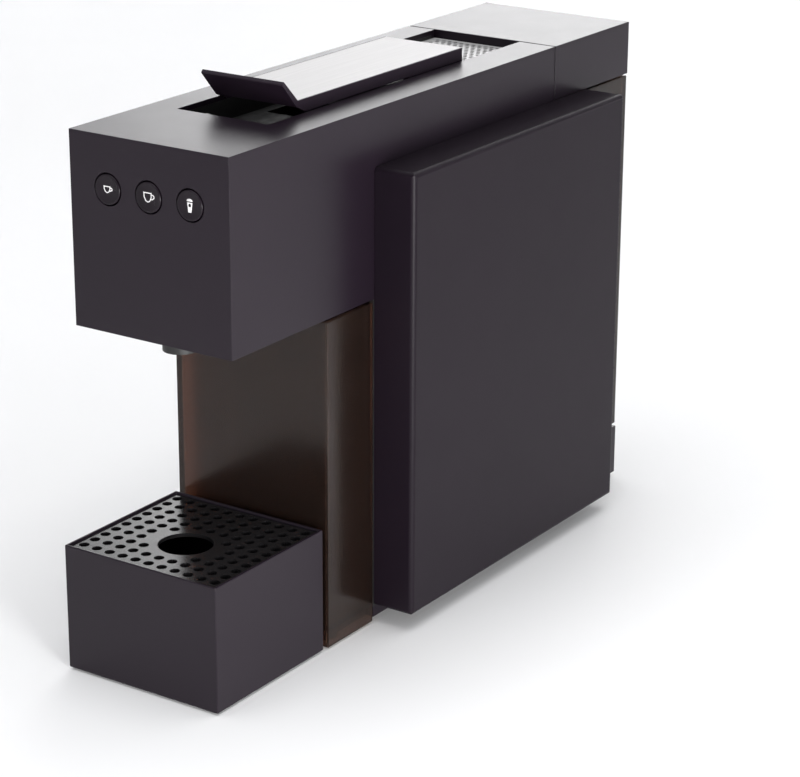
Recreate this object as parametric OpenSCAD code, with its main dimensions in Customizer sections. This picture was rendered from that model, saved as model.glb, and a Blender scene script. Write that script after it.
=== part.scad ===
// Pod coffee machine: a brew head over a cup space, a drip tray, a pull-out used-capsule bin,
// two side panels, a lift-off water tank and a cam lever that closes the brew unit.
// Frame: the origin is the centre of the footprint on the worktop, +Z is up, the front faces -Y.

/* [Overall] */
// Width across both side panels
overall_w = 128; // [120:1:160]
// Depth from the drip tray's front to the tank's back
overall_d = 345; // [335:1:420]
// Height of the flat top of the head and of the tank lid
body_top = 246; // [240:1:300]
// Width of the head, the bin front and the tank lid
body_w = 85; // [84:0.5:104]
// Wall of the moulded housings
wall = 2.5; // [2:0.1:3.5]

/* [Head] */
// Height of the brew head
head_h = 87.5; // [86:0.5:100]
// Head front behind the drip tray front
head_setback = 14; // [6:0.5:24]
// Gap between the head and the tank lid
lid_seam = 1; // [0.6:0.1:2]
// Left edge of the recess in the top, from the middle
recess_x = 27; // [26:0.5:32]
// Gap between the lever and the recess's right edge
lever_gap = 0.5; // [0.4:0.1:5]
// Depth of the recess floor below the top
recess_depth = 12; // [11:0.5:16]
// Recess front behind the head front
recess_setback = 54; // [44:1:62]
// Length of the vent grille strip behind the lever
vent_len = 51; // [44:1:60]
// Vent plate top below the flat top
vent_drop = 4; // [4:0.5:6]
// Distance between holes in the vent plate
vent_pitch = 3.5; // [3.2:0.1:6]
// Diameter of a hole in the vent plate
vent_hole = 2.3; // [1.6:0.1:2.6]
// Thickness of sheet metal and of thin moulded plates
sheet = 1.5; // [1:0.1:2]

/* [Side panels] */
// Panel front behind the drip tray front
panel_setback = 118.2; // [110:0.2:126]
// Panel back ahead of the tank's back
panel_inset = 41; // [20:0.5:50]
// Panel bottom above the worktop
panel_lift = 8.5; // [6:0.5:20]
// Panel top below the flat top
panel_drop = 26.5; // [10:0.5:60]
// Rounding of the panel's outer edges
panel_round = 2.5; // [1:0.5:6]

/* [Base] */
// Height of the rubber feet
foot_h = 3; // [2:0.5:6]
// Radius of the rubber feet
foot_r = 7; // [4:0.5:7.5]
// Thickness of the base plate
base_t = 5; // [4:0.5:8]
// Height of the tank seat above the worktop
seat_top = 29; // [27:1:40]

/* [Water tank] */
// Depth of the tank and its lid
tank_d = 72; // [60:1:84]
// Wall of the clear mouldings
clear_wall = 2.2; // [1.6:0.1:3]
// Height of the tank lid
lid_h = 26.5; // [15:0.5:40]
// Groove between the lid and the tank
lid_groove = 1; // [0.6:0.1:3]
// Depth of the lid's spigot in the tank's mouth
spigot_h = 9.5; // [3:0.5:12]
// Radius of the tank valve
valve_r = 6; // [4:0.5:8]

/* [Drip tray] */
// Depth of the drip tray, front to back
tray_d = 78.8; // [70:0.2:90]
// Top of the drip tray's rim above the worktop
tray_top = 60.3; // [45:0.1:75]
// Gap between the drip tray and the bin front
tray_gap = 3.2; // [2.5:0.1:5]
// Rim around the grid
rim = 1.4; // [1:0.1:2]
// Grid surface below the rim
grid_drop = 1; // [0.5:0.1:3]
// Thickness of the grid
grid_t = 1.8; // [1.2:0.1:3]
// Columns of grid holes
grid_cols = 11; // [7:2:13]
// Rows of grid holes
grid_rows = 10; // [6:1:12]
// Diameter of a grid hole
grid_hole = 4.7; // [3:0.1:5.4]
// Diameter of the hole under the spout
drain_d = 25; // [16:1:32]

/* [Capsule bin] */
// Clearance of the bin over the base and in the body
slide_gap = 0.4; // [0.3:0.1:0.8]
// Clearance between the bin's top and the head
bin_head_gap = 1.5; // [1:0.1:3]
// Height of the bin's back wall
bin_back_h = 100; // [60:1:140]

/* [Lever] */
// Width of the lever
lever_w = 44; // [43:0.5:50]
// Length of the lever from the lip's crease to the back
lever_len = 131; // [120:1:140]
// Lever top above the flat top
lever_rise = 6; // [5:0.5:8]
// Height of the lip above the lever top
lip_rise = 10; // [4:0.5:16]
// Run of the lip ahead of the crease
lip_run = 11; // [6:0.5:14]
// Thickness of the lip and of the lever's plate
lip_t = 2; // [1.6:0.1:3]
// Thickness of the metal inlay
inlay_t = 0.8; // [0.5:0.1:1.2]
// Opening angle of the lever
lever_open = 85; // [70:1:86]
// Radius of the hinge pin and of the cross pin
pin_r = 2; // [1.5:0.1:2.4]
// Radial clearance of the hinge pin in the lever
pin_fit = 0.05; // [0.02:0.01:0.1]

/* [Brew unit] */
// Stroke of the injector
stroke = 26; // [22:0.5:27]
// Height of the brew axis above the head floor's top
brew_rise = 27; // [26:0.5:30]
// Outer radius of the capsule holder
holder_r = 24.9; // [23:0.1:24.9]
// Radius of the capsule chamber
chamber_r = 20.5; // [18:0.5:21.5]
// Length of the capsule holder
holder_len = 34; // [30:1:38]

/* [Buttons] */
// Number of buttons
button_n = 3; // [1:1:3]
// Distance between buttons
button_pitch = 22; // [21:0.5:28]
// Diameter of a button
button_d = 13.4; // [10:0.2:16]
// Button centre below the flat top
button_drop = 23.5; // [20:0.5:40]
// Travel of a button
button_travel = 1.2; // [0.6:0.1:1.4]
// Ring gap round a button
button_gap = 0.6; // [0.4:0.1:1]

/* [Spout] */
// Radius of the coffee spout
spout_r = 8; // [6:0.5:10]
// Spout centre behind the head front
spout_setback = 19; // [17:0.5:30]
// Spout end below the head
spout_drop = 8; // [4:0.5:12]

/* [Hidden] */
$fn = 64;
eps = 1;

// Main planes, all from the sizes above
x_body = body_w / 2;
x_in = x_body - wall;
y_front = -overall_d / 2;
y_back = overall_d / 2;
head_y0 = y_front + head_setback;
lid_y0 = y_back - tank_d;
head_y1 = lid_y0 - lid_seam;
head_z0 = body_top - head_h;
floor_top = head_z0 + wall;
column_y0 = y_front + tray_d + tray_gap;
panel_y0 = y_front + panel_setback;
panel_y1 = y_back - panel_inset;
base_top = foot_h + base_t;

// Lever, hinge and cam
lever_x = lever_w / 2;
lever_y1 = head_y1 - vent_len;
lever_y0 = lever_y1 - lever_len;
lever_top = body_top + lever_rise;
skirt_gap = 0.3;
hinge_y = lever_y1 - 5;
hinge_z = body_top - 3;
cheek_x1 = lever_x - 0.5;
cheek_x0 = cheek_x1 - 3;
cam_reach = 34;
cam_drop = 18;
cam_gap = 0.4;
cam_wall = 3;
cam_steps = 18;
cheek_back = 30;
cheek_front = 47;
cross_pin_z = hinge_z - cam_drop;
cross_pin_y = hinge_y - cam_reach;

// Recess, vent and brew unit
recess_y0 = head_y0 + recess_setback;
recess_z = body_top - recess_depth;
tub_t = 2;
recess_right = lever_x + lever_gap;
tub_z0 = recess_z - tub_t;
vent_top = body_top - vent_drop;
vent_y0 = hinge_y + 11.5;
ledge = 3;
slot_x = chamber_r + 1;
scoop_x = 18;
scoop_d = 9;
scoop_r = 24;
scoop_y = recess_y0 + sqrt(pow(scoop_r, 2) - pow(scoop_r - recess_depth + wall, 2));
brew_z = floor_top + brew_rise;
holder_y1 = hinge_y - 92;
holder_y0 = holder_y1 - holder_len;
capsule_grip = 2.5;
piston_y0 = holder_y1 + capsule_grip;
piston_t = 11;
piston_r = chamber_r + 1.5;
chute_y0 = holder_y1 - 2;
chute_y1 = piston_y0 + stroke + 2;
chute_x = 24;
frame_x0 = 25;
frame_x1 = 28;
frame_y1 = cross_pin_y + stroke + 8;
yoke_x1 = cheek_x0 - 1;
yoke_x0 = yoke_x1 - 3;
lug = 8;
lug_z = brew_z - 8;
outlet_r = 3;
outlet_z = brew_z - 12;

// Bin and machinery bay
bin_top = head_z0 - bin_head_gap;
bin_z0 = 1;
bin_floor = base_top + slide_gap;
bin_step = panel_y0 - 0.8;
bin_y1 = chute_y1 + 30;
bin_x = x_in - slide_gap;
core_y0 = bin_step + slide_gap;
bay_y0 = bin_y1 + 1 + wall;
bay_y1 = head_y1 - wall;
tongue_x = x_body - clear_wall - 3;
tongue_y0 = column_y0 + clear_wall + 2;

// Drip tray and grid
tray_x = x_body - 0.5;
tray_wall = 2.6;
tray_y1 = y_front + tray_d;
tray_z0 = 1;
grid_z1 = tray_top - grid_drop;
grid_z0 = grid_z1 - grid_t;
grid_edge = 0.35;
grid_margin = 5.5;
grid_pitch_x = (2 * tray_x - 2 * grid_margin) / (grid_cols - 1);
grid_pitch_y = (tray_d - 2 * grid_margin - 2) / (grid_rows - 1);
spout_y = head_y0 + spout_setback;
tab_x = [18, 28];
tab_z = [tray_z0 + 20, tray_z0 + 32];

// Tank
tank_x = x_body - 0.4;
tank_y0 = lid_y0 + 0.3;
tank_z0 = seat_top + 1.5;
lid_z0 = body_top - lid_h;
tank_top = lid_z0 - lid_groove;
tank_yc = (lid_y0 + y_back) / 2;
lid_inset = 0.8;
valve_gap = 0.5;
socket_z0 = base_top + 4;
hose_r = 3.5;
hose_z = socket_z0 + 5;

// Machinery in the bay
bay_yc = (bay_y0 + bay_y1) / 2;
pump_x = 22 - x_in;
pump_r = 9;
coil = [34, 40, 56];
pump_z = [26, 40, 96, 118, 126];
mount_z = [[30, 36], [104, 110]];
mount_w = 30;
block_x = [pump_x + 27, x_in - 3];
block_z = [45, 150];
block_in = block_x[0] + 6;
block_out = block_x[1] - 4.5;
nipple_h = 6;
meter_x = 9;
meter_r = 11;
screw_r = 1.7;
screw_hole = 1.9;
screw_head = 3.2;
screw_head_t = 2;
boss_r = 5;
screw_points = [for (sx = [-1, 1], y = [bay_y0 + 10, bay_y1 - 8]) [sx * (x_in - boss_r + 1), y]];
panel_points = [for (y = [bay_y0 + 14, bay_y1 - 12], z = [base_top + 34, head_z0 - 12]) [y, z]];
board_t = 1.6;

// Cord gland
gland_x = -28;
gland_z = base_top + 7;
gland_r = 6;
gland_bore = 3.6;
gland_len = 12;

// Buttons
button_r = button_d / 2;
button_z = body_top - button_drop;
button_xs = [for (i = [0:button_n - 1]) (i - (button_n - 1) / 2) * button_pitch];
button_proud = 0.5;
flange_t = 1.2;
stem_len = 3;
switch_h = 2;
button_board_y = head_y0 + wall + 0.4 + flange_t + stem_len + button_travel + 0.4 + switch_h;

black = [0.17, 0.165, 0.17];
dark = [0.1, 0.1, 0.1];
smoke = [0.3, 0.24, 0.2, 0.7];
steel = [0.75, 0.75, 0.76];
rubber = [0.05, 0.05, 0.05];

// A box from its low and high corner on each axis
module slab(x, y, z) translate([x[0], y[0], z[0]]) cube([x[1] - x[0], y[1] - y[0], z[1] - z[0]]);

// A flat outline in Y and Z, given its thickness along X
module along_x(x0, x1) translate([x0, 0, 0]) rotate([90, 0, 90]) linear_extrude(x1 - x0) children();

// A round bar along X, Y or Z
module bar_x(x0, x1, y, z, r) translate([x0, y, z]) rotate([0, 90, 0]) cylinder(h = x1 - x0, r = r);
module bar_y(y0, y1, x, z, r) translate([x, y1, z]) rotate([90, 0, 0]) cylinder(h = y1 - y0, r = r);
module bar_z(z0, z1, x, y, r) translate([x, y, z0]) cylinder(h = z1 - z0, r = r);

// The same thing on both sides of the machine
module both_sides() {
    children();
    mirror([1, 0, 0]) children();
}

// A round tube along a list of points: straight lengths that end inside slightly larger ball corners
module run(points, r) {
    last = len(points) - 2;
    for (i = [0:last]) {
        way = (points[i + 1] - points[i]) / norm(points[i + 1] - points[i]);
        start = points[i] + (i > 0 ? 0.3 * r : 0) * way;
        stop = points[i + 1] - (i < last ? 0.3 * r : 0) * way;
        turn = [0, acos(way[2]), atan2(way[1], way[0])];
        translate(start) rotate(turn) cylinder(h = norm(stop - start), r = r);
        if (i > 0) translate(points[i]) rotate(turn) sphere(r = 1.15 * r);
    }
}

// A rectangle with round corners, centred on its own middle
module round_rect(w, h, r) {
    square([w - 2 * r, h], center = true);
    square([w, h - 2 * r], center = true);
    for (sx = [-1, 1], sy = [-1, 1]) translate([sx * (w / 2 - r), sy * (h / 2 - r)]) circle(r);
}

// ---- Base and body ----

module base() {
    color(black) difference() {
        union() {
            slab([-tongue_x, tongue_x], [tongue_y0, core_y0 + eps], [foot_h, base_top]);
            slab([-x_body, x_body], [core_y0, y_back], [foot_h, base_top]);
            slab([-x_body, x_body], [head_y1, y_back], [foot_h, seat_top]);
        }
        slab([-x_in, x_in], [head_y1 + wall, y_back - wall], [base_top, seat_top - wall]);
        slab([-2 * hose_r, 2 * hose_r], [head_y1 - eps, head_y1 + wall + eps], [base_top, seat_top - wall]);
        bar_z(seat_top - wall - eps, seat_top + eps, 0, tank_yc, valve_r + valve_gap);
        bar_y(y_back - wall - eps, y_back + eps, gland_x, gland_z, gland_r);
        for (p = screw_points) {
            bar_z(foot_h - eps, foot_h + screw_head_t + 0.5, p[0], p[1], screw_head + 0.4);
            bar_z(foot_h, base_top + eps, p[0], p[1], screw_hole);
        }
    }
}

module feet() {
    color(rubber) both_sides() {
        bar_z(0, foot_h, tongue_x - foot_r - 1, tongue_y0 + foot_r + 1, foot_r);
        bar_z(0, foot_h, x_body - foot_r - 3, bay_yc, foot_r);
        bar_z(0, foot_h, x_body - foot_r - 3, y_back - foot_r - 4, foot_r);
    }
}

module core() {
    color(dark) {
        difference() {
            union() {
                both_sides() slab([x_in, x_body], [core_y0, head_y1], [base_top, head_z0]);
                slab([-x_in, x_in], [bay_y0 - wall, bay_y0], [base_top, head_z0]);
                slab([-x_in, x_in], [bay_y1, head_y1], [base_top, head_z0]);
                for (p = screw_points) bar_z(base_top, base_top + 12, p[0], p[1], boss_r);
            }
            slab([-2 * hose_r, 2 * hose_r], [bay_y1 - eps, head_y1 + eps], [base_top - eps, seat_top - wall]);
            for (p = screw_points) bar_z(base_top - eps, base_top + 10, p[0], p[1], screw_r + 0.05);
            for (p = panel_points) bar_x(-x_body - eps, x_body + eps, p[0], p[1], screw_hole);
        }
    }
}

// The panel on the +X side: a shell open towards the body ahead of the tank
module panel() {
    x_out = overall_w / 2;
    t = x_out - x_body;
    y_mid = (panel_y0 + panel_y1) / 2;
    z0 = panel_lift;
    z1 = body_top - panel_drop;
    difference() {
        intersection() {
            along_x(x_body, x_out) translate([y_mid, (z0 + z1) / 2])
                round_rect(panel_y1 - panel_y0, z1 - z0, panel_round);
            translate([x_body, y_mid, z0]) linear_extrude(z1 - z0)
                round_rect(2 * t, panel_y1 - panel_y0, panel_round);
            translate([x_body, panel_y1, (z0 + z1) / 2]) rotate([90, 0, 0])
                linear_extrude(panel_y1 - panel_y0) round_rect(2 * t, z1 - z0, panel_round);
        }
        slab([x_body + wall, x_out - wall], [panel_y0 + wall, panel_y1 - wall], [z0 + wall, z1 - wall]);
        slab([x_body - eps, x_out - wall], [panel_y0 + wall, head_y1 - wall], [z0 + wall, z1 - wall]);
    }
    for (p = panel_points) difference() {
        bar_x(x_body, x_out - wall + 0.1, p[0], p[1], boss_r);
        bar_x(x_body - eps, x_body + 8, p[0], p[1], screw_r + 0.05);
    }
}

module side_panel_right() { color(black) panel(); }
module side_panel_left() { color(black) mirror([1, 0, 0]) panel(); }

module head_shell() {
    color(black) difference() {
        union() {
            difference() {
                slab([-x_body, x_body], [head_y0, head_y1], [head_z0, body_top]);
                slab([-x_in, x_in], [head_y0 + wall, bay_y1], [head_z0 - eps, body_top - wall]);
            }
            for (sx = [-1, 1], dz = [-1, 1])
                bar_y(head_y0 + wall - 0.1, button_board_y, sx * (x_in - 5), button_z + 10 * dz, 3);
        }
        slab([-recess_x, recess_right], [recess_y0, head_y1 + eps], [vent_top - sheet, body_top + eps]);
        for (x = button_xs)
            bar_y(head_y0 - eps, head_y0 + wall + eps, x, button_z, button_r + button_gap);
        bar_x(-recess_x - tub_t, recess_right + tub_t, hinge_y, hinge_z, pin_r);
    }
}

module head_floor() {
    color(black) difference() {
        slab([-x_in, x_in], [head_y0 + wall, bay_y0], [head_z0, floor_top]);
        slab([-chute_x, chute_x], [chute_y0, chute_y1], [head_z0 - eps, floor_top + eps]);
        bar_z(head_z0 - eps, floor_top + eps, 0, spout_y, spout_r + 0.1);
    }
}

// The recess under the lever, with the capsule slot and the slots for the lever's cheeks
module recess_tub() {
    x1 = recess_x + tub_t;
    color(dark) {
        difference() {
            union() {
                slab([-x1, x1], [recess_y0 - tub_t, bay_y1], [tub_z0, recess_z]);
                slab([-x1, recess_right + tub_t], [recess_y0 - tub_t, bay_y1], [tub_z0, body_top - wall]);
            }
            slab([-recess_x, recess_right], [recess_y0, bay_y1 + eps], [recess_z, body_top]);
            slab([-slot_x, slot_x], [piston_y0 - 1, chute_y1], [tub_z0 - eps, recess_z + eps]);
            both_sides() slab([cheek_x0 - 0.5, cheek_x1 + 0.5], [hinge_y - cheek_front, hinge_y + cheek_back],
                [tub_z0 - eps, recess_z + eps]);
            bar_x(-x1 - eps, x1 + eps, hinge_y, hinge_z, pin_r);
        }
        for (x = [-recess_x, recess_right - ledge])
            slab([x, x + ledge], [hinge_y + cheek_back, bay_y1], [recess_z, vent_top - sheet]);
        // Finger scoop in front of the lip
        difference() {
            slab([-scoop_x, scoop_x], [recess_y0, recess_y0 + scoop_d], [recess_z, body_top - wall]);
            translate([0, scoop_y, recess_z + scoop_r]) sphere(r = scoop_r);
        }
    }
}

module vent_plate() {
    row_pitch = vent_pitch * sin(60);
    cols = floor((recess_x + recess_right - 4) / vent_pitch - 0.5);
    x_mid = (recess_right - recess_x) / 2;
    rows = floor((head_y1 - vent_y0 - 4) / row_pitch);
    y_first = (vent_y0 + head_y1 - (rows - 1) * row_pitch) / 2;
    color(steel) difference() {
        slab([-recess_x + 0.2, recess_right - 0.2], [vent_y0, head_y1], [vent_top - sheet, vent_top]);
        for (i = [0:cols - 1], j = [0:rows - 1])
            bar_z(vent_top - sheet - eps, vent_top + eps,
                x_mid + (i - (cols - 1) / 2 + (j % 2) / 2 - 0.25) * vent_pitch, y_first + j * row_pitch,
                vent_hole / 2);
    }
}

// ---- Brew unit ----

module spout() {
    color(dark) difference() {
        union() {
            bar_z(head_z0 - spout_drop, floor_top, 0, spout_y, spout_r);
            bar_z(floor_top, floor_top + 2, 0, spout_y, spout_r + 3);
        }
        bar_z(head_z0 - 2, floor_top + 2 + eps, 0, spout_y, outlet_r);
        for (x = [-4, 4]) bar_z(head_z0 - spout_drop - eps, head_z0 - 2, x, spout_y, 2.2);
        slab([-5, 5], [spout_y - 2, spout_y + 2], [head_z0 - 4, head_z0 - 1]);
    }
}

module coffee_tube() {
    z0 = floor_top + 2;
    color(rubber) difference() {
        run([[0, holder_y0, outlet_z], [0, spout_y, outlet_z], [0, spout_y, z0]], outlet_r + 1.5);
        run([[0, holder_y0 + eps, outlet_z], [0, spout_y, outlet_z], [0, spout_y, z0 - eps]], outlet_r);
    }
}

module brew_frame() {
    color(dark) both_sides() difference() {
        slab([frame_x0, frame_x1], [holder_y0 - 2, frame_y1], [floor_top, tub_z0]);
        slab([frame_x0 - eps, frame_x1 + eps],
            [cross_pin_y - pin_r - cam_gap, cross_pin_y + stroke + pin_r + cam_gap],
            [cross_pin_z - pin_r - cam_gap, cross_pin_z + pin_r + cam_gap]);
        slab([frame_x0 - eps, frame_x1 + eps],
            [piston_y0 + 1 - cam_gap, piston_y0 + 1 + lug + stroke + cam_gap],
            [lug_z - lug / 2 - cam_gap, lug_z + lug / 2 + cam_gap]);
    }
}

module capsule_holder() {
    color(dark) difference() {
        union() {
            bar_y(holder_y0, holder_y1, 0, brew_z, holder_r);
            slab([-frame_x0, frame_x0], [holder_y0 + 4, holder_y0 + 20], [floor_top, brew_z - 10]);
        }
        bar_y(holder_y0 + 6, holder_y1 + eps, 0, brew_z, chamber_r);
        bar_y(holder_y0 - eps, holder_y0 + 6 + eps, 0, outlet_z, outlet_r);
    }
}

module lever_switch() {
    z = cross_pin_z - 18;
    color(rubber) {
        slab([frame_x1, frame_x1 + 6], [frame_y1 - 22, frame_y1 - 2], [z, z + 10]);
        slab([frame_x1 + 1, frame_x1 + 5], [frame_y1 - 18, frame_y1 - 17.4], [z - 5, z]);
        slab([frame_x1 + 1, frame_x1 + 5], [frame_y1 - 8, frame_y1 - 7.4], [z - 5, z]);
    }
}

// ---- Lever and injector ----

// Where the cross pin sits in the lever's own frame when the lever is open by angle a
function pin_in_lever(a) =
    let (y = -cam_reach + stroke * a / lever_open, z = -cam_drop)
    [y * cos(a) - z * sin(a), y * sin(a) + z * cos(a)];

cam_path = [for (i = [0:cam_steps]) pin_in_lever(lever_open * i / cam_steps)];

// Unit normal of the cam path at point i, pointing away from the hinge
function cam_normal(i) =
    let (a = cam_path[max(i - 1, 0)], b = cam_path[min(i + 1, cam_steps)], t = (b - a) / norm(b - a))
    [t[1], -t[0]];
function cam_tangent(i) = let (n = cam_normal(i)) [-n[1], n[0]];

// A closed band round the cam path: out from the hinge side by far, back on the near side
function cam_band(near, far, end) = concat(
    [for (i = [0:cam_steps])
        cam_path[i] + far * cam_normal(i) + end * (i == cam_steps ? 1 : i == 0 ? -1 : 0) * cam_tangent(i)],
    [for (i = [cam_steps:-1:0])
        cam_path[i] - near * cam_normal(i) + end * (i == cam_steps ? 1 : i == 0 ? -1 : 0) * cam_tangent(i)]);

module lever_cheek() {
    slot = pin_r + cam_gap;
    edge = slot + cam_wall;
    plate_z = lever_top - hinge_z - inlay_t;
    first = cam_path[0];
    last = cam_path[cam_steps];
    difference() {
        along_x(cheek_x0, cheek_x1) translate([hinge_y, hinge_z]) {
            polygon(cam_band(edge, edge, edge));
            polygon([[first[0] - edge, plate_z], [first[0] - edge, first[1]], cam_path[6], cam_path[12],
                [last[0] - 2, last[1]], [last[0] - edge, last[1] + 4], [4.4, plate_z]]);
            circle(r = 5.2);
        }
        along_x(cheek_x0 - eps, cheek_x1 + eps) translate([hinge_y, hinge_z])
            polygon(cam_band(slot, slot, slot));
        slab([cheek_x0 - eps, cheek_x1 + eps], [hinge_y + 6, hinge_y + cheek_back],
            [vent_top - sheet - 0.9, lever_top]);
        bar_x(cheek_x0 - eps, cheek_x1 + eps, hinge_y, hinge_z, pin_r + pin_fit);
    }
}

module lever() {
    plate_top = lever_top - inlay_t;
    plate_z0 = plate_top - lip_t;
    tip_y = lever_y0 - lip_run;
    color(dark) {
        along_x(-lever_x, lever_x) polygon([[lever_y1, plate_z0], [lever_y1, plate_top],
            [lever_y0 + 1, plate_top], [lever_y0 + 1, lever_top], [lever_y0, lever_top],
            [tip_y + 1, lever_top + lip_rise], [tip_y, lever_top + lip_rise - 1],
            [tip_y, lever_top + lip_rise - 1.6],
            [lever_y0 - 1, plate_z0]]);
        both_sides() along_x(lever_x - lip_t, lever_x) polygon([
            [lever_y0 - 1, plate_z0 + 0.1], [lever_y0 + 5, body_top + skirt_gap],
            [lever_y1, body_top + skirt_gap], [lever_y1, plate_z0 + 0.1]]);
        slab([-lever_x, lever_x], [lever_y1 - lip_t, lever_y1], [body_top + skirt_gap, plate_z0 + 0.1]);
        both_sides() slab([lever_x - 0.7, lever_x], [lever_y0 + 1, lever_y1], [plate_top, lever_top]);
        both_sides() lever_cheek();
    }
}

module lever_inlay() {
    color([0.9, 0.9, 0.9]) slab([-lever_x + 0.7, lever_x - 0.7], [lever_y0 + 1, lever_y1],
        [lever_top - inlay_t, lever_top]);
}

module hinge_pin() { color(steel) bar_x(-recess_x - tub_t, recess_right + tub_t, hinge_y, hinge_z, pin_r); }

module injector() {
    back = piston_y0 + piston_t;
    color(dark) {
        bar_y(piston_y0, back, 0, brew_z, piston_r);
        both_sides() {
            slab([0, frame_x1 - 0.5], [piston_y0 + 1, piston_y0 + 1 + lug],
                [lug_z - lug / 2, lug_z + lug / 2]);
            difference() {
                along_x(yoke_x0, yoke_x1) polygon([[back - 1, brew_z - 12], [back + 10, brew_z - 12],
                    [cross_pin_y + 6, cross_pin_z - 4], [cross_pin_y + 5, cross_pin_z + 4.5],
                    [cross_pin_y - 5, cross_pin_z + 4.5], [back - 1, brew_z + 12]]);
                bar_x(yoke_x0 - eps, yoke_x1 + eps, cross_pin_y, cross_pin_z, pin_r);
            }
        }
    }
}

module cross_pin() { color(steel) bar_x(-frame_x1, frame_x1, cross_pin_y, cross_pin_z, pin_r); }

module injector_needles() {
    color(steel) for (a = [0:120:240])
        translate([8 * sin(a), piston_y0, brew_z + 8 * cos(a)]) rotate([90, 0, 0]) {
            cylinder(h = 3, r = 1.2);
            translate([0, 0, 3]) cylinder(h = 2.5, r1 = 1.2, r2 = 0.2, $fn = 24);
        }
}

// ---- Buttons and boards ----

module button(i) {
    y = head_y0 + wall + 0.4;
    x = button_xs[min(i, button_n - 1)];
    color(dark) {
        bar_y(head_y0 - button_proud, y, x, button_z, button_r);
        bar_y(y, y + flange_t, x, button_z, button_r + button_gap + 1);
        bar_y(y + flange_t, y + flange_t + stem_len, x, button_z, 2);
    }
}

module button_left() { button(0); }
module button_middle() { button(1); }
module button_right() { button(2); }

module button_board() {
    color([0.1, 0.25, 0.15]) slab([-x_in + 1, x_in - 1], [button_board_y, button_board_y + board_t],
        [button_z - 13, button_z + 13]);
    color(dark) for (x = button_xs)
        slab([x - 3, x + 3], [button_board_y - switch_h, button_board_y], [button_z - 3, button_z + 3]);
}

module control_board() {
    x = -x_in;
    y = [bay_y0 + 10, bay_y1 - 8];
    z = [head_z0 - 58, head_z0 - 4];
    color([0.1, 0.25, 0.15]) slab([x + 5, x + 5 + board_t], y, z);
    color(dark) {
        slab([x + 5 + board_t, x + 20], [y[0] + 6, y[0] + 26], [z[1] - 24, z[1] - 6]);
        slab([x + 5 + board_t, x + 16], [y[0] + 34, y[0] + 50], [z[1] - 22, z[1] - 4]);
        for (j = [0:2]) bar_x(x + 5 + board_t, x + 12, y[0] + 12 + 14 * j, z[1] - 34, 4);
        for (yy = [y[0] + 4, y[1] - 4]) bar_x(x, x + 5, yy, z[0] + 8, 2.5);
    }
}

// ---- Water path in the bay ----

module pump() {
    color([0.6, 0.6, 0.6]) {
        translate([pump_x - coil[0] / 2, bay_yc - coil[1] / 2, pump_z[1]]) cube(coil);
        bar_z(pump_z[0], pump_z[1] + 0.1, pump_x, bay_yc, pump_r);
        bar_z(pump_z[2] - 0.1, pump_z[3], pump_x, bay_yc, pump_r);
        bar_z(pump_z[3], pump_z[4], pump_x, bay_yc, hose_r);
    }
}

module pump_mounts() {
    color(rubber) for (z = mount_z) difference() {
        slab([pump_x - mount_w / 2, pump_x + mount_w / 2], [bay_y0, bay_yc + mount_w / 2], z);
        bar_z(z[0] - eps, z[1] + eps, pump_x, bay_yc, pump_r + 0.05);
    }
}

module thermoblock() {
    color([0.7, 0.7, 0.72]) {
        difference() {
            slab(block_x, [bay_y0 + 8, bay_y1 - 8], block_z);
            for (z = [block_z[0] + 10:12:block_z[1] - 8])
                slab([block_x[0] - eps, block_x[0] + 3], [bay_y0, bay_y1], [z, z + 5]);
        }
        for (x = [block_in, block_out]) bar_z(block_z[1], block_z[1] + nipple_h, x, bay_yc, hose_r + 0.5);
        for (z = [block_z[0] + 12, block_z[1] - 12]) bar_y(bay_y0, bay_y0 + 8.1, block_out, z, 4);
    }
}

module flow_meter() {
    color([0.85, 0.85, 0.85]) {
        bar_z(base_top, base_top + 18, meter_x, bay_yc, meter_r);
        bar_z(base_top + 18, base_top + 20, meter_x, bay_yc, meter_r - 3);
        bar_x(meter_x - meter_r - 2, meter_x, bay_yc, hose_z, hose_r);
        bar_y(bay_yc, bay_yc + meter_r + 2, meter_x, hose_z, hose_r);
    }
}

module valve_socket() {
    color(dark) difference() {
        union() {
            bar_z(socket_z0, seat_top - wall, 0, tank_yc, valve_r + valve_gap + wall);
            bar_y(tank_yc - valve_r - 10, tank_yc, 0, hose_z, hose_r);
        }
        bar_z(socket_z0 + 2, seat_top, 0, tank_yc, valve_r + valve_gap);
    }
}

module suction_hose() {
    y0 = tank_yc - valve_r - 10;
    color([0.8, 0.8, 0.75, 0.8]) run([[0, y0, hose_z], [0, bay_y1 - 6, hose_z], [meter_x, bay_y1 - 6, hose_z],
        [meter_x, bay_yc + meter_r + 2, hose_z]], hose_r);
}

module inlet_hose() {
    color([0.8, 0.8, 0.75, 0.8])
        run([[meter_x - meter_r - 2, bay_yc, hose_z], [pump_x, bay_yc, hose_z],
            [pump_x, bay_yc, pump_z[0]]], hose_r);
}

module pressure_hose() {
    top = block_z[1] + nipple_h;
    color([0.8, 0.8, 0.75, 0.8]) run([[pump_x, bay_yc, pump_z[4]], [pump_x, bay_yc, top + 8],
        [block_in, bay_yc, top + 8], [block_in, bay_yc, top]], hose_r);
}

// Rigid hot water line to the fitting on the brew frame
module hot_line() {
    z = floor_top + 16;
    color([0.8, 0.8, 0.75, 0.8]) run([[block_out, bay_yc, block_z[1] + nipple_h], [block_out, bay_yc, z],
        [block_out, frame_y1 - 8, z], [frame_x1, frame_y1 - 8, z]], 2.6);
}

module cord_gland() {
    color(rubber) difference() {
        union() {
            bar_y(y_back - gland_len, y_back, gland_x, gland_z, gland_r - 0.05);
            bar_y(y_back - wall - 3, y_back - wall, gland_x, gland_z, gland_r + 1);
        }
        bar_y(y_back - gland_len - eps, y_back + eps, gland_x, gland_z, gland_bore);
    }
}

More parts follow.
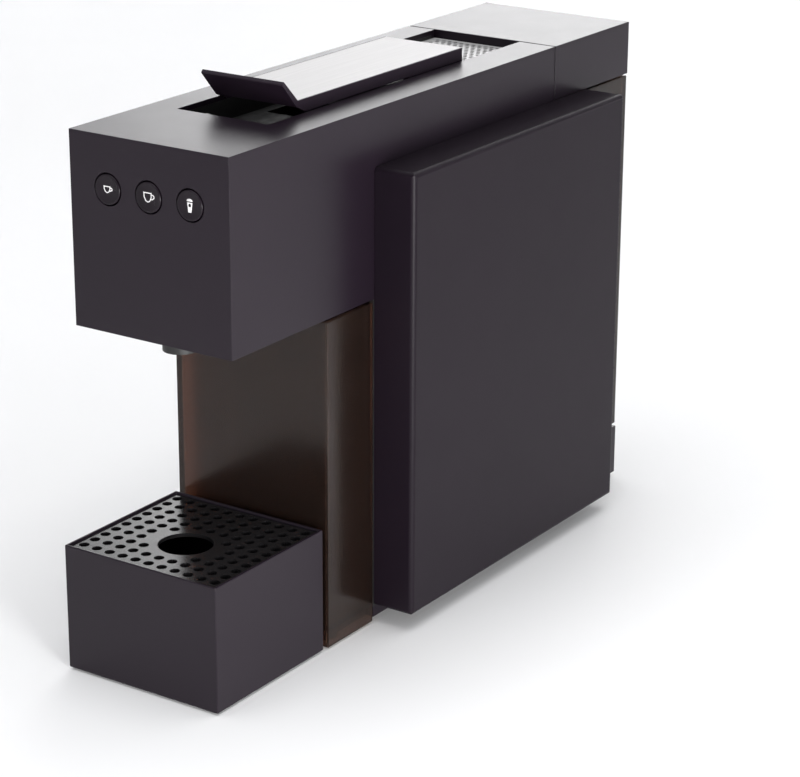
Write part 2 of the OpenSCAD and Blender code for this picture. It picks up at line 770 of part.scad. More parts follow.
module base_screws() {
    color(steel) for (p = screw_points) {
        bar_z(foot_h + 0.5, foot_h + screw_head_t + 0.5, p[0], p[1], screw_head);
        bar_z(foot_h + screw_head_t + 0.4, base_top + 9, p[0], p[1], screw_r);
    }
}

module panel_screws() {
    color(steel) both_sides() for (p = panel_points) {
        bar_x(x_in - screw_head_t, x_in, p[0], p[1], screw_head);
        bar_x(x_in - 0.1, x_body + 7, p[0], p[1], screw_r);
    }
}

// ---- Bin, tray, grid and tank ----

module capsule_bin() {
    x_cav = x_body - clear_wall;
    y_cav = column_y0 + clear_wall;
    color(smoke) difference() {
        union() {
            slab([-x_body, x_body], [column_y0, bin_step], [bin_z0, bin_top]);
            slab([-bin_x, bin_x], [bin_step - eps, bin_y1], [bin_floor, bin_top]);
        }
        slab([-x_cav, x_cav], [y_cav, bin_step - clear_wall], [bin_floor + clear_wall, bin_top + eps]);
        slab([-bin_x + clear_wall, bin_x - clear_wall], [y_cav, bin_y1 - clear_wall],
            [bin_floor + clear_wall, bin_top + eps]);
        slab([-bin_x + clear_wall, bin_x - clear_wall], [bin_y1 - clear_wall - eps, bin_y1 + eps],
            [bin_floor + bin_back_h, bin_top + eps]);
        slab([-x_cav, x_cav], [y_cav, bin_step + eps], [bin_z0 - eps, bin_floor]);
        both_sides() slab([tab_x[0] - slide_gap, tab_x[1] + slide_gap], [column_y0 - eps, column_y0 + 1.4],
            [tab_z[0] - slide_gap, tab_z[1] + slide_gap]);
    }
}

module drip_tray() {
    color(black) {
        difference() {
            slab([-tray_x, tray_x], [y_front, tray_y1], [tray_z0, tray_top]);
            slab([-tray_x + rim, tray_x - rim], [y_front + rim, tray_y1 - rim], [grid_z0, tray_top + eps]);
            slab([-tray_x + tray_wall, tray_x - tray_wall], [y_front + tray_wall, tray_y1 - tray_wall],
                [tray_z0 + wall, tray_top]);
        }
        both_sides() slab(tab_x, [tray_y1 - 0.1, column_y0 + 1], tab_z);
    }
}

module drip_grid() {
    edge = rim + grid_edge;
    y_first = y_front + grid_margin + 1.5;
    keep_out = drain_d / 2 + grid_hole / 2 + 1;
    color(dark) difference() {
        slab([-tray_x + edge, tray_x - edge], [y_front + edge, tray_y1 - edge], [grid_z0, grid_z1]);
        for (i = [0:grid_cols - 1], j = [0:grid_rows - 1]) {
            x = (i - (grid_cols - 1) / 2) * grid_pitch_x;
            y = y_first + j * grid_pitch_y;
            if (norm([x, y - spout_y]) > keep_out) bar_z(grid_z0 - eps, grid_z1 + eps, x, y, grid_hole / 2);
        }
        bar_z(grid_z0 - eps, grid_z1 + eps, 0, spout_y, drain_d / 2);
    }
}

module water_tank() {
    color(smoke) difference() {
        slab([-tank_x, tank_x], [tank_y0, y_back], [tank_z0, tank_top]);
        slab([-tank_x + clear_wall, tank_x - clear_wall], [tank_y0 + clear_wall, y_back - clear_wall],
            [tank_z0 + clear_wall, tank_top + eps]);
        bar_z(tank_z0 - eps, tank_z0 + clear_wall + eps, 0, tank_yc, valve_r - 2);
    }
}

module tank_valve() {
    inside = tank_z0 + clear_wall;
    color(rubber) {
        bar_z(socket_z0 + 4, tank_z0, 0, tank_yc, valve_r);
        bar_z(tank_z0, inside, 0, tank_yc, valve_r - 2.05);
        bar_z(inside, inside + 3, 0, tank_yc, valve_r - 0.5);
    }
}

module tank_lid() {
    gap = 0.5;
    inset = clear_wall + gap;
    color(black) difference() {
        union() {
            slab([-x_body, x_body], [lid_y0, y_back], [lid_z0, body_top]);
            slab([-tank_x + lid_inset, tank_x - lid_inset], [tank_y0 + lid_inset, y_back - lid_inset],
                [tank_top + 0.3, lid_z0]);
            slab([-tank_x + inset, tank_x - inset], [tank_y0 + inset, y_back - inset],
                [tank_top - spigot_h, tank_top + 0.3]);
        }
        slab([-tank_x + inset + 1.6, tank_x - inset - 1.6], [tank_y0 + inset + 1.6, y_back - inset - 1.6],
            [tank_top - spigot_h - eps, body_top - wall]);
    }
}

base();
feet();
core();
side_panel_left();
side_panel_right();
head_shell();
head_floor();
recess_tub();
vent_plate();
spout();
coffee_tube();
brew_frame();
capsule_holder();
hinge_pin();
lever_switch();
button_board();
control_board();
pump();
pump_mounts();
thermoblock();
flow_meter();
valve_socket();
suction_hose();
inlet_hose();
pressure_hose();
hot_line();
cord_gland();
base_screws();
panel_screws();
lever();
lever_inlay();
injector();
cross_pin();
injector_needles();
button_left();
button_middle();
button_right();
capsule_bin();
drip_tray();
drip_grid();
water_tank();
tank_valve();
tank_lid();
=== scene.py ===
import math

import bmesh
import bpy
import numpy as np
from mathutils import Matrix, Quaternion, Vector


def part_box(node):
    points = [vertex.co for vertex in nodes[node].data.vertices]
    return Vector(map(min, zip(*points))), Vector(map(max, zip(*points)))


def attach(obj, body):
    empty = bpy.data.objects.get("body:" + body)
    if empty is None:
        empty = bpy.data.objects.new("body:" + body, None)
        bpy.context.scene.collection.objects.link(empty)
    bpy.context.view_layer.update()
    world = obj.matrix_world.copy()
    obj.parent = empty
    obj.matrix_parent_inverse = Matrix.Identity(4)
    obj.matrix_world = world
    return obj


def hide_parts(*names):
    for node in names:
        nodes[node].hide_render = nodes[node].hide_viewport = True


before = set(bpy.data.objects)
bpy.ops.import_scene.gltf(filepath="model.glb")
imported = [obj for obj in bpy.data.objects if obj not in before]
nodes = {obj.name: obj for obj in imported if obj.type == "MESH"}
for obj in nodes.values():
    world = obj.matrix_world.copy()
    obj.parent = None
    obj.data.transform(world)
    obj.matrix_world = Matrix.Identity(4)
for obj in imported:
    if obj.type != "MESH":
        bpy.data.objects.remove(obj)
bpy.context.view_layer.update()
MM = 0.001

# ---- Camera ----
# A long lens stands to the right of the machine's front and a little above its top, as for a
# catalogue picture. No lead is in view, so there are no cords to make.
camera_aim = Vector((0.0, 0.03025, 0.08282))
camera_distance = 1.2909
camera_azimuth = math.radians(33.882)
camera_elevation = math.radians(19.574)
camera_roll = math.radians(0.276)
lens_mm = 118.4

toward_camera = Vector(
    (
        math.sin(camera_azimuth) * math.cos(camera_elevation),
        -math.cos(camera_azimuth) * math.cos(camera_elevation),
        math.sin(camera_elevation),
    )
)
camera_data = bpy.data.cameras.new("camera")
camera_data.lens = lens_mm
camera_data.sensor_width = 36.0
camera = bpy.data.objects.new("camera", camera_data)
camera.location = camera_aim + camera_distance * toward_camera
look = (-toward_camera).to_track_quat("-Z", "Y")
camera.rotation_mode = "QUATERNION"
camera.rotation_quaternion = look @ Quaternion((0, 0, 1), camera_roll)
bpy.context.scene.collection.objects.link(camera)
bpy.context.scene.camera = camera


# ---- Studio ----
# A pale seamless sweep: a floor that curves up into a backdrop far behind the machine. Large soft
# boxes light it, one over the back edge so that the flat tops catch a bright sheen.
floor_half = 3.0
sweep_radius = 0.9
sweep_y = 2.2
sweep_top = 2.6


def new_mesh_object(name, points, faces, smooth=True):
    """A mesh object made from arrays of points in metres and of faces."""
    mesh = bpy.data.meshes.new(name)
    corners = np.asarray(points, float).reshape(-1, 3).tolist()
    mesh.from_pydata(corners, [], [list(map(int, f)) for f in faces])
    mesh.polygons.foreach_set("use_smooth", [smooth] * len(mesh.polygons))
    mesh.update()
    obj = bpy.data.objects.new(name, mesh)
    bpy.context.scene.collection.objects.link(obj)
    return obj


def grid_faces(rows, cols, wrap_rows=False, wrap_cols=False):
    """Quads over a grid of rows by cols points, joined round where a direction wraps."""
    i = np.arange(rows if wrap_rows else rows - 1)[:, None]
    j = np.arange(cols if wrap_cols else cols - 1)[None, :]
    i1, j1 = (i + 1) % rows, (j + 1) % cols
    quads = np.stack([i * cols + j, i * cols + j1, i1 * cols + j1, i1 * cols + j], axis=-1)
    return quads.reshape(-1, 4)


def node_material(name):
    """An empty node material and its Principled shader."""
    material = bpy.data.materials.new(name)
    material.use_nodes = True
    return material, material.node_tree, material.node_tree.nodes["Principled BSDF"]


def noise(tree, scale, detail=3.0, roughness=0.5, stretch=None):
    """Noise on the piece's own coordinates, stretched along axes where asked."""
    coords = tree.nodes.new("ShaderNodeTexCoord")
    texture = tree.nodes.new("ShaderNodeTexNoise")
    texture.inputs["Scale"].default_value = scale
    texture.inputs["Detail"].default_value = detail
    texture.inputs["Roughness"].default_value = roughness
    if stretch is None:
        tree.links.new(coords.outputs["Object"], texture.inputs["Vector"])
    else:
        mapping = tree.nodes.new("ShaderNodeMapping")
        mapping.inputs["Scale"].default_value = stretch
        tree.links.new(coords.outputs["Object"], mapping.inputs["Vector"])
        tree.links.new(mapping.outputs["Vector"], texture.inputs["Vector"])
    return texture.outputs["Fac"]


def spread(tree, value, low, high):
    """A noise value carried to the range low to high."""
    ramp = tree.nodes.new("ShaderNodeMapRange")
    ramp.inputs["From Min"].default_value = 0.25
    ramp.inputs["From Max"].default_value = 0.75
    ramp.inputs["To Min"].default_value = low
    ramp.inputs["To Max"].default_value = high
    tree.links.new(value, ramp.inputs["Value"])
    return ramp.outputs["Result"]


def tinted(tree, value, dark, light):
    """A colour between dark and light, chosen by a noise value."""
    ramp = tree.nodes.new("ShaderNodeValToRGB")
    ramp.color_ramp.elements[0].position = 0.3
    ramp.color_ramp.elements[0].color = (*dark, 1)
    ramp.color_ramp.elements[1].position = 0.7
    ramp.color_ramp.elements[1].color = (*light, 1)
    tree.links.new(value, ramp.inputs["Fac"])
    return ramp.outputs["Color"]


def bumped(tree, shader, value, height_mm, strength=1.0):
    """Raises the surface by up to height_mm where value is 1."""
    bump = tree.nodes.new("ShaderNodeBump")
    bump.inputs["Strength"].default_value = strength
    bump.inputs["Distance"].default_value = height_mm * MM
    tree.links.new(value, bump.inputs["Height"])
    tree.links.new(bump.outputs["Normal"], shader.inputs["Normal"])


def sweep_paper():
    """Matt white paper with a faint tone variation."""
    material, tree, shader = node_material("sweep_paper")
    tone = tinted(tree, noise(tree, 2.0), (0.86, 0.86, 0.86), (0.9, 0.9, 0.9))
    tree.links.new(tone, shader.inputs["Base Color"])
    shader.inputs["Roughness"].default_value = 0.9
    return material


def sweep():
    """The sweep's section is a floor line, a quarter circle and a wall, carried along X."""
    turn = np.linspace(0, math.pi / 2, 24)
    y = np.r_[-floor_half, sweep_y + sweep_radius * np.sin(turn), sweep_y + sweep_radius]
    z = np.r_[0, sweep_radius * (1 - np.cos(turn)), sweep_top]
    x = np.array([-floor_half, floor_half])
    points = np.stack(np.broadcast_arrays(x[None, :], y[:, None], z[:, None]), axis=-1)
    obj = new_mesh_object("studio_sweep", points, grid_faces(len(y), 2))
    obj.data.materials.append(sweep_paper())
    return obj


sweep()


def soft_box(name, place, aim, size, watts, spread=180):
    """A soft box at a place, turned to face a point, with a grid that limits its spread in degrees."""
    data = bpy.data.lights.new(name, "AREA")
    data.shape = "RECTANGLE"
    data.size, data.size_y = size
    data.energy = watts
    data.spread = math.radians(spread)
    obj = bpy.data.objects.new(name, data)
    obj.location = place
    obj.visible_camera = False
    obj.rotation_euler = (Vector(aim) - Vector(place)).to_track_quat("-Z", "Y").to_euler()
    bpy.context.scene.collection.objects.link(obj)


machine_middle = (0.0, 0.0, 0.13)
soft_box("back_wall_light", (-1.4, 1.6, 1.9), (-1.9, 3.1, 0.9), (2.4, 1.4), 102, spread=120)
soft_box("overhead", (0.1, 0.0, 2.2), machine_middle, (2.0, 2.0), 30)
soft_box("edge_strip", (0.72, -0.50, 0.14), (0.0, 0.0, 0.16), (0.22, 0.26), 7.5)
soft_box("front_fill", (-0.9, -2.2, 0.9), machine_middle, (1.4, 1.4), 2.5)

world = bpy.data.worlds.new("studio")
world.use_nodes = True
world.node_tree.nodes["Background"].inputs["Color"].default_value = (0.95, 0.96, 1.0, 1)
world.node_tree.nodes["Background"].inputs["Strength"].default_value = 0.5
bpy.context.scene.world = world
bpy.context.scene.view_settings.view_transform = "Standard"


# ---- Black housings ----
# The head, base, side panels, lid and drip tray are moulded in black ABS with a fine satin spark
# texture. Each keeps the shape of its moulding, with its edges eased as the mould leaves them.
housing_dark = (0.0102, 0.0060, 0.0108)
housing_light = (0.0118, 0.0071, 0.0123)
housing_specular = 0.26
housing_ease = 0.65 * MM


def satin_black(name="satin_black", roughness=(0.325, 0.345), lift=1.0, specular=housing_specular):
    """Spark-textured black plastic: tight grain for the bump, slow drifts of gloss and tone."""
    material, tree, shader = node_material(name)
    # lift scales both tones; the lever and the side panels use it as painted light and painted shade.
    dark, light = (tuple(lift * c for c in tone) for tone in (housing_dark, housing_light))
    tree.links.new(tinted(tree, noise(tree, 9.0), dark, light), shader.inputs["Base Color"])
    tree.links.new(spread(tree, noise(tree, 60.0), *roughness), shader.inputs["Roughness"])
    shader.inputs["Specular IOR Level"].default_value = specular
    bumped(tree, shader, noise(tree, 2600.0, detail=2.0), 0.012)
    return material


def eased(node, ease=housing_ease, steps=3, name=None):
    """A merged copy of a CAD piece with every sharp edge rounded to the ease radius."""
    mesh = bpy.data.meshes.new((name or node) + "_moulding")
    shape = bmesh.new()
    shape.from_mesh(nodes[node].data)
    bmesh.ops.remove_doubles(shape, verts=shape.verts, dist=2e-6)
    bmesh.ops.dissolve_limit(shape, angle_limit=math.radians(1.0), verts=shape.verts, edges=shape.edges)
    shape.to_mesh(mesh)
    shape.free()
    mesh.polygons.foreach_set("use_smooth", [True] * len(mesh.polygons))
    obj = bpy.data.objects.new((name or node) + "_moulding", mesh)
    bpy.context.scene.collection.objects.link(obj)
    bevel = obj.modifiers.new("ease", "BEVEL")
    bevel.width = ease
    bevel.segments = steps
    bevel.limit_method = "ANGLE"
    bevel.angle_limit = math.radians(35)
    weigh = obj.modifiers.new("flats", "WEIGHTED_NORMAL")
    weigh.keep_sharp = False
    return obj


def stand_in(obj, node, body, material):
    """Puts a finished piece in place of a CAD node, on its body, in its material."""
    obj.data.materials.clear()
    obj.data.materials.append(material)
    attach(obj, body)
    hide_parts(node)
    return obj


black_plastic = satin_black()
for node, body in (
    ("head_shell", "chassis"),
    ("base", "chassis"),
    ("tank_lid", "tank_lid"),
    ("drip_tray", "drip_tray"),
):
    stand_in(eased(node), node, body, black_plastic)
# Painted shade: lift=0.8 makes the side panels' black darker than the housing's, standing in for the dimmer
# light on the machine's side faces. Their rougher, less glossy finish is their own.
shaded_panel_black = satin_black("panel_black", roughness=(0.42, 0.45), lift=0.8, specular=0.15)
for node in ("side_panel_left", "side_panel_right"):
    stand_in(eased(node), node, "chassis", shaded_panel_black)
nodes["head_floor"].data.materials.clear()
nodes["head_floor"].data.materials.append(black_plastic)


# ---- Inner mouldings ----
# Brackets, chutes, the brew unit and the walls inside are plain glass-filled black nylon, matt and
# a touch rougher than the outside.
def matt_nylon():
    """Glass-filled nylon: a coarser grain with faint flow marks."""
    material, tree, shader = node_material("matt_nylon")
    flow = noise(tree, 25.0, stretch=(1, 1, 4))
    tone = tinted(tree, flow, (0.008, 0.008, 0.008), (0.014, 0.014, 0.014))
    tree.links.new(tone, shader.inputs["Base Color"])
    tree.links.new(spread(tree, noise(tree, 300.0), 0.45, 0.6), shader.inputs["Roughness"])
    bumped(tree, shader, noise(tree, 1800.0), 0.02)
    return material


inner_plastic = matt_nylon()


def finish(node, material):
    """Gives a CAD node its own material."""
    mesh = nodes[node].data
    mesh.materials.clear()
    mesh.materials.append(material)


for node in (
    "core",
    "brew_frame",
    "capsule_holder",
    "lever_switch",
    "valve_socket",
    "injector",
    "spout",
    "recess_tub",
):
    finish(node, inner_plastic)


# ---- Capsule bin and water tank ----
# Both are injection moulded in smoke-brown clear plastic, which shows brown where light passes two
# walls. The index is set to keep the surface reflection faint; a real plastic's is about 1.5.
smoke_index = 1.35
smoke_specular = 0.2


def smoke_clear(name, tint, roughness, clear):
    """Smoked clear plastic, faintly wavy as moulded, so that what is behind it blurs."""
    material, tree, shader = node_material(name)
    shader.inputs["Base Color"].default_value = (*tint, 1)
    shader.inputs["Transmission Weight"].default_value = clear
    shader.inputs["Specular IOR Level"].default_value = smoke_specular
    shader.inputs["IOR"].default_value = smoke_index
    blur = spread(tree, noise(tree, 40.0), roughness * 0.8, roughness * 1.2)
    tree.links.new(blur, shader.inputs["Roughness"])
    bumped(tree, shader, noise(tree, 30.0), 0.02)
    return material


bin_plastic = smoke_clear("bin_smoke", (0.27, 0.16, 0.12), 0.22, 0.97)
tank_plastic = smoke_clear("tank_smoke", (0.17, 0.10, 0.075), 0.08, 0.98)
stand_in(eased("capsule_bin"), "capsule_bin", "capsule_bin", bin_plastic)
stand_in(eased("water_tank"), "water_tank", "water_tank", tank_plastic)


# ---- Drip grid ----
# A flat black sheet over the tray with a satin coat. Every hole's edge is rounded, and a large hole
# under the spout lets drips straight through.
grid_coating_dark = (0.010, 0.0095, 0.010)
grid_coating_light = (0.014, 0.013, 0.014)


def satin_coating():
    """Smooth powder coat: a soft orange-peel and an even satin gloss."""
    material, tree, shader = node_material("satin_coating")
    tree.links.new(
        tinted(tree, noise(tree, 20.0), grid_coating_dark, grid_coating_light), shader.inputs["Base Color"]
    )
    tree.links.new(spread(tree, noise(tree, 90.0), 0.2, 0.26), shader.inputs["Roughness"])
    shader.inputs["Specular IOR Level"].default_value = 0.42
    bumped(tree, shader, noise(tree, 900.0, detail=1.0), 0.008)
    return material


grid_plastic = satin_coating()
stand_in(eased("drip_grid", ease=0.3 * MM, steps=2), "drip_grid", "drip_grid", grid_plastic)


# ---- Lever ----
# A black moulded lever with an upturned lip. Its top is faced with a thin brushed inlay that runs
# from the crease of the lip to the back edge. The inlay's pale grey is painted sheen: it stands in for the
# bright reflection on the lever's top.
def sheen_painted_inlay():
    """Pale brushed plate: grain lines run along the lever; its pale grey is painted sheen, standing in for
    the bright reflection on the lever's top.
    """
    material, tree, shader = node_material("sheen_painted_inlay")
    lines = noise(tree, 900.0, detail=2.0, stretch=(1, 0.02, 1))
    # Painted sheen: these pale greys stand in for the reflection on the lever's top.
    tree.links.new(tinted(tree, lines, (0.44, 0.43, 0.43), (0.50, 0.49, 0.49)), shader.inputs["Base Color"])
    tree.links.new(spread(tree, lines, 0.46, 0.56), shader.inputs["Roughness"])
    shader.inputs["Metallic"].default_value = 0.25
    bumped(tree, shader, lines, 0.003)
    return material


# Painted light: lift=1.5 makes the lever's black lighter than the housing's, standing in for the light its
# lip catches.
lit_lever_black = satin_black("lever_black", roughness=(0.34, 0.42), lift=1.5)
stand_in(eased("lever", ease=0.35 * MM), "lever", "lever", lit_lever_black)
# Painted sheen: the inlay's pale grey stands in for the reflection on the lever's top.
sheen_inlay_finish = sheen_painted_inlay()
stand_in(eased("lever_inlay", ease=0.25 * MM), "lever_inlay", "lever", sheen_inlay_finish)


# ---- Vent plate ----
# Thin perforated aluminium sheet behind the lever: small round holes in staggered rows, over a
# dark plenum.
vent_lo, vent_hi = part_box("vent_plate")
vent_pitch = 3.5 * MM
vent_hole_r = 1.15 * MM
vent_border = 1.6 * MM
vent_t = 0.8 * MM


def perforated_sheet(name, lo, hi, pitch, hole_r, border, thickness):
    """Square tiles in staggered rows. In each tile a ring of points on the tile's edge is joined to
    a ring on the hole's circle, so the plate is flat quads all the way, then it gets its thickness."""
    row_h = pitch * math.sqrt(3) / 2
    rows = int((hi.y - lo.y - 2 * border) / row_h)
    cols = int((hi.x - lo.x - 2 * border) / pitch)
    x_mid, y0 = (lo.x + hi.x) / 2, (lo.y + hi.y) / 2 - rows * row_h / 2
    turn = np.arange(16) * math.pi / 8 + math.pi / 4
    reach = 1 / np.maximum(np.abs(np.cos(turn)), np.abs(np.sin(turn)))
    tile = np.stack([np.cos(turn) * reach * pitch / 2, np.sin(turn) * reach * row_h / 2], -1)
    hole = np.stack([np.cos(turn), np.sin(turn)], -1) * hole_r
    rings = np.concatenate([tile, hole])
    j, i = np.meshgrid(np.arange(rows), np.arange(cols - 1), indexing="ij")
    cx = x_mid + (i - (cols - 2) / 2 + np.where(j % 2, 0.25, -0.25)) * pitch
    cy = y0 + (j + 0.5) * row_h
    centres = np.stack([cx, cy], -1).reshape(-1, 1, 2)
    flat = (centres + rings[None]).reshape(-1, 2)
    points = np.c_[flat, np.full(len(flat), hi.z)]
    quads = grid_faces(2, 16, wrap_cols=True)
    faces = (np.arange(len(centres))[:, None, None] * 32 + quads[None]).reshape(-1, 4)
    left = cx.min(axis=1) - pitch / 2
    right = cx.max(axis=1) + pitch / 2
    strips, strip_faces = [], []
    for k in range(rows):
        for x0, x1 in ((lo.x, left[k]), (right[k], hi.x)):
            base = len(points) + len(strips)
            y_low = y0 + k * row_h
            y_high = y_low + row_h
            strips += [(x0, y_low, hi.z), (x1, y_low, hi.z), (x1, y_high, hi.z), (x0, y_high, hi.z)]
            strip_faces.append((base, base + 1, base + 2, base + 3))
    for y_low, y_high in ((lo.y, y0), (y0 + rows * row_h, hi.y)):
        base = len(points) + len(strips)
        strips += [(lo.x, y_low, hi.z), (hi.x, y_low, hi.z), (hi.x, y_high, hi.z), (lo.x, y_high, hi.z)]
        strip_faces.append((base, base + 1, base + 2, base + 3))
    obj = new_mesh_object(
        name, np.concatenate([points, np.array(strips)]), [*faces.tolist(), *strip_faces], smooth=False
    )
    plate = obj.modifiers.new("sheet", "SOLIDIFY")
    plate.thickness = thickness
    plate.offset = -1
    return obj


def satin_sheet():
    """Anodised sheet aluminium with a faint rolled grain."""
    material, tree, shader = node_material("satin_sheet")
    lines = noise(tree, 700.0, stretch=(0.05, 1, 1))
    tone = tinted(tree, lines, (0.38, 0.375, 0.375), (0.46, 0.455, 0.455))
    tree.links.new(tone, shader.inputs["Base Color"])
    tree.links.new(spread(tree, lines, 0.4, 0.5), shader.inputs["Roughness"])
    shader.inputs["Metallic"].default_value = 0.3
    return material


vent_metal = satin_sheet()
vent = perforated_sheet("vent_sheet", vent_lo, vent_hi, vent_pitch, vent_hole_r, vent_border, vent_t)
stand_in(vent, "vent_plate", "chassis", vent_metal)


# ---- Buttons ----
# Three round gloss-black push buttons in clearance rings on the head's front. Each has a shallow
# dish and a white printed sign: a small cup, a large cup and a takeaway cup.
button_rows = 24
button_turns = 96
dish_mm = 0.35
sign_stroke = 0.46


def gloss_black():
    """Polished black cap, faintly wavy."""
    material, tree, shader = node_material("gloss_black")
    tone = tinted(tree, noise(tree, 50.0), (0.008, 0.0055, 0.008), (0.012, 0.008, 0.012))
    tree.links.new(tone, shader.inputs["Base Color"])
    tree.links.new(spread(tree, noise(tree, 200.0), 0.2, 0.28), shader.inputs["Roughness"])
    shader.inputs["Specular IOR Level"].default_value = 0.2
    bumped(tree, shader, noise(tree, 400.0), 0.004)
    return material


def white_print():
    """Matt white ink with a slightly uneven film."""
    material, tree, shader = node_material("white_print")
    ink = noise(tree, 1500.0)
    tree.links.new(tinted(tree, ink, (0.82, 0.80, 0.80), (0.92, 0.90, 0.90)), shader.inputs["Base Color"])
    tree.links.new(spread(tree, ink, 0.45, 0.6), shader.inputs["Roughness"])
    return material


button_gloss = gloss_black()
ink_white = white_print()


def turned(name, profile, centre, turns=button_turns):
    """A profile of (radius, depth behind the face) pairs turned about an axis along Y."""
    profile = np.asarray(profile, float)
    angle = np.arange(turns) * 2 * math.pi / turns
    r, d = profile[:, 0, None], profile[:, 1, None]
    points = np.stack(
        np.broadcast_arrays(
            centre[0] + r * np.sin(angle)[None, :],
            centre[1] + d + 0 * angle,
            centre[2] + r * np.cos(angle)[None, :],
        ),
        axis=-1,
    )
    faces = grid_faces(len(profile), turns, wrap_cols=True).tolist()
    faces.append(list(range(turns))[::-1])
    last = (len(profile) - 1) * turns
    faces.append(list(range(last, last + turns)))
    obj = new_mesh_object(name, points, faces)
    clean = bmesh.new()
    clean.from_mesh(obj.data)
    bmesh.ops.recalc_face_normals(clean, faces=clean.faces)
    clean.to_mesh(obj.data)
    clean.free()
    return obj


def button_cap(node):
    """The cap's profile: a shallow dish, a rounded rim, the skirt, the flange and the stem."""
    lo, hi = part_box(node)
    centre = Vector(((lo.x + hi.x) / 2, lo.y, (lo.z + hi.z) / 2))
    flange_r = (hi.x - lo.x) / 2
    cap_r = flange_r - 1.6 * MM
    rim_r = 0.6 * MM
    dish_r = cap_r - rim_r
    s = np.linspace(0.02, 1, button_rows)
    dish = np.c_[dish_r * s, dish_mm * MM * (1 - s**2)]
    t = np.linspace(0, math.pi / 2, 8)[1:]
    rim = np.c_[dish_r + rim_r * np.sin(t), rim_r * (1 - np.cos(t))]
    skirt = hi.y - lo.y - 4.2 * MM
    back = [(cap_r, skirt), (flange_r, skirt), (flange_r, skirt + 1.2 * MM), (2 * MM, skirt + 1.2 * MM)]
    back.append((2 * MM, hi.y - lo.y))
    return turned(node + "_cap", np.r_[dish, rim, back], centre), centre, dish_r


def ribbon(path, width, closed=True):
    """A flat band of even width along a path of (x, z) points: each point's normal offset both ways."""
    path = np.asarray(path, float)
    if closed:
        ahead, behind = np.roll(path, -1, axis=0), np.roll(path, 1, axis=0)
    else:
        ahead = np.r_[path[1:], path[-1:]]
        behind = np.r_[path[:1], path[:-1]]
    along = ahead - behind
    along /= np.linalg.norm(along, axis=1)[:, None]
    normal = np.c_[along[:, 1], -along[:, 0]]
    return np.stack([path - normal * width / 2, path + normal * width / 2], axis=1)


def smooth_outline(corners, steps=6, closed=True):
    """A Catmull-Rom curve through given corners."""
    p = np.asarray(corners, float)
    p = np.r_[p[-1:], p, p[:2]] if closed else np.r_[p[:1], p, p[-1:]]
    t = np.linspace(0, 1, steps, endpoint=False)[:, None]
    out = []
    for k in range(len(p) - 3):
        a, b, c, d = p[k : k + 4]
        square, cube = 2 * a - 5 * b + 4 * c - d, 3 * b - a - 3 * c + d
        out.append(0.5 * (2 * b + (c - a) * t + square * t**2 + cube * t**3))
    curve = np.concatenate(out)
    return curve if closed else np.r_[curve, p[-2:-1]]


def cup_sign(scale, tall):
    """A cup seen from the side: a bowl outline and an ear, as two bands."""
    bowl = [(-1.3, 1.0), (1.0, 1.0), (1.0, 0.1), (0.5, -0.75), (-0.15, -1.0), (-0.8, -0.75), (-1.3, 0.1)]
    ear = [(1.0, 0.7), (1.7, 0.6), (1.95, 0.15), (1.45, -0.25), (0.85, -0.35)]
    size = np.array([scale, scale * tall])
    corner = np.repeat(np.asarray(bowl, float), 2, axis=0)
    return [
        (ribbon(smooth_outline(corner * size, 4), sign_stroke), True),
        (ribbon(smooth_outline(np.asarray(ear) * size, 6, False), sign_stroke, False), False),
    ]


def takeaway_sign():
    """A tapered cup with a domed lid and a round badge left open in its side."""
    t = np.linspace(0, math.pi, 12)
    lid = np.c_[1.55 * np.cos(t), 2.0 + 0.95 * np.sin(t)]
    low = np.c_[np.linspace(-1.55, 1.55, 12), np.full(12, 1.8)]
    dome = np.stack([lid[::-1], low], axis=1)
    side = np.linspace(0, 1, 24)
    half = 1.4 - 0.55 * side
    z = 1.3 - 4.25 * side
    hole = np.sqrt(np.clip(0.72**2 - (z - 0.1) ** 2, 0, None))
    left = np.stack([np.c_[-half, z], np.c_[-hole, z]], axis=1)
    right = np.stack([np.c_[hole, z], np.c_[half, z]], axis=1)
    return [(dome, False), (left, False), (right, False)]


def printed(name, bands, centre, dish_r, lift=0.04 * MM):
    """Lays flat bands, in millimetres about the button's middle, onto the dished cap."""
    points, faces = [], []
    for band, closed in bands:
        start = len(points)
        rows = band.shape[0]
        flat = band.reshape(-1, 2) * MM
        reach = np.clip(np.hypot(flat[:, 0], flat[:, 1]) / dish_r, 0, 1)
        depth = dish_mm * MM * (1 - reach**2) - lift
        points += np.c_[centre.x + flat[:, 0], centre.y + depth, centre.z + flat[:, 1]].tolist()
        faces += (grid_faces(rows, 2, wrap_rows=closed) + start).tolist()
    obj = new_mesh_object(name, points, faces)
    film = obj.modifiers.new("film", "SOLIDIFY")
    film.thickness = 0.03 * MM
    film.offset = 0
    return obj


for node, bands in (
    ("button_left", cup_sign(1.35, 1.0)),
    ("button_middle", cup_sign(1.65, 1.2)),
    ("button_right", takeaway_sign()),
):
    cap, middle, dish_radius = button_cap(node)
    stand_in(cap, node, node, button_gloss)
    sign = printed(node + "_sign", bands, middle, dish_radius)
    sign.data.materials.append(ink_white)
    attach(sign, node)


# ---- Metal, rubber and inner works ----
# Pins, screws and needles are ground steel; feet, seals and mounts are black rubber. The pump,
# thermoblock, hoses and boards keep their CAD shapes.
def ground_steel():
    """Stainless steel with fine grinding lines."""
    material, tree, shader = node_material("ground_steel")
    lines = noise(tree, 1500.0, stretch=(0.1, 1, 1))
    tree.links.new(tinted(tree, lines, (0.5, 0.5, 0.5), (0.62, 0.62, 0.62)), shader.inputs["Base Color"])
    tree.links.new(spread(tree, lines, 0.2, 0.35), shader.inputs["Roughness"])
    shader.inputs["Metallic"].default_value = 1.0
    return material


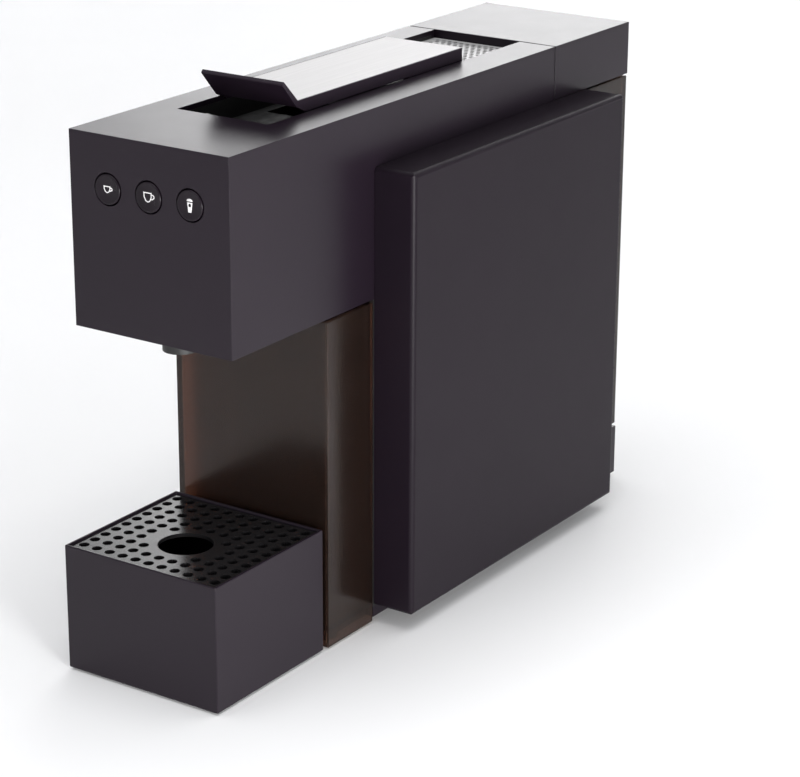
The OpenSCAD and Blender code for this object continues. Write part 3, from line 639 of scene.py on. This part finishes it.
def soft_rubber():
    """Matt black rubber with a dusty bloom."""
    material, tree, shader = node_material("soft_rubber")
    bloom = noise(tree, 120.0, detail=5.0)
    tone = tinted(tree, bloom, (0.012, 0.012, 0.012), (0.022, 0.022, 0.022))
    tree.links.new(tone, shader.inputs["Base Color"])
    tree.links.new(spread(tree, bloom, 0.6, 0.8), shader.inputs["Roughness"])
    bumped(tree, shader, noise(tree, 1500.0), 0.02)
    return material


def cast_aluminium():
    """Sand-cast aluminium: grainy, dull grey."""
    material, tree, shader = node_material("cast_aluminium")
    grain = noise(tree, 900.0, detail=4.0)
    tree.links.new(tinted(tree, grain, (0.42, 0.42, 0.43), (0.55, 0.55, 0.56)), shader.inputs["Base Color"])
    tree.links.new(spread(tree, grain, 0.45, 0.65), shader.inputs["Roughness"])
    shader.inputs["Metallic"].default_value = 0.9
    bumped(tree, shader, grain, 0.06)
    return material


def milky_silicone():
    """Translucent silicone hose."""
    material, tree, shader = node_material("milky_silicone")
    cloud = noise(tree, 200.0)
    tree.links.new(tinted(tree, cloud, (0.66, 0.65, 0.6), (0.76, 0.75, 0.7)), shader.inputs["Base Color"])
    tree.links.new(spread(tree, cloud, 0.3, 0.4), shader.inputs["Roughness"])
    shader.inputs["Subsurface Weight"].default_value = 0.2
    return material


def circuit_board():
    """Green solder mask with faint copper runs under it."""
    material, tree, shader = node_material("circuit_board")
    runs = noise(tree, 400.0, stretch=(1, 1, 0.1))
    tree.links.new(tinted(tree, runs, (0.02, 0.10, 0.05), (0.03, 0.15, 0.07)), shader.inputs["Base Color"])
    tree.links.new(spread(tree, runs, 0.25, 0.4), shader.inputs["Roughness"])
    return material


def white_nylon():
    """Natural nylon of the flow meter."""
    material, tree, shader = node_material("white_nylon")
    haze = noise(tree, 300.0)
    tree.links.new(tinted(tree, haze, (0.72, 0.72, 0.69), (0.8, 0.8, 0.77)), shader.inputs["Base Color"])
    tree.links.new(spread(tree, haze, 0.4, 0.5), shader.inputs["Roughness"])
    return material


steel_finish, rubber_finish, hose_finish = ground_steel(), soft_rubber(), milky_silicone()
board_finish = circuit_board()
for material, names in (
    (steel_finish, ("hinge_pin", "cross_pin", "base_screws", "panel_screws", "injector_needles")),
    (rubber_finish, ("feet", "pump_mounts", "cord_gland", "tank_valve")),
    (hose_finish, ("coffee_tube", "suction_hose", "inlet_hose", "pressure_hose", "hot_line")),
    (cast_aluminium(), ("thermoblock", "pump")),
    (board_finish, ("control_board", "button_board")),
    (white_nylon(), ("flow_meter",)),
):
    for node in names:
        finish(node, material)
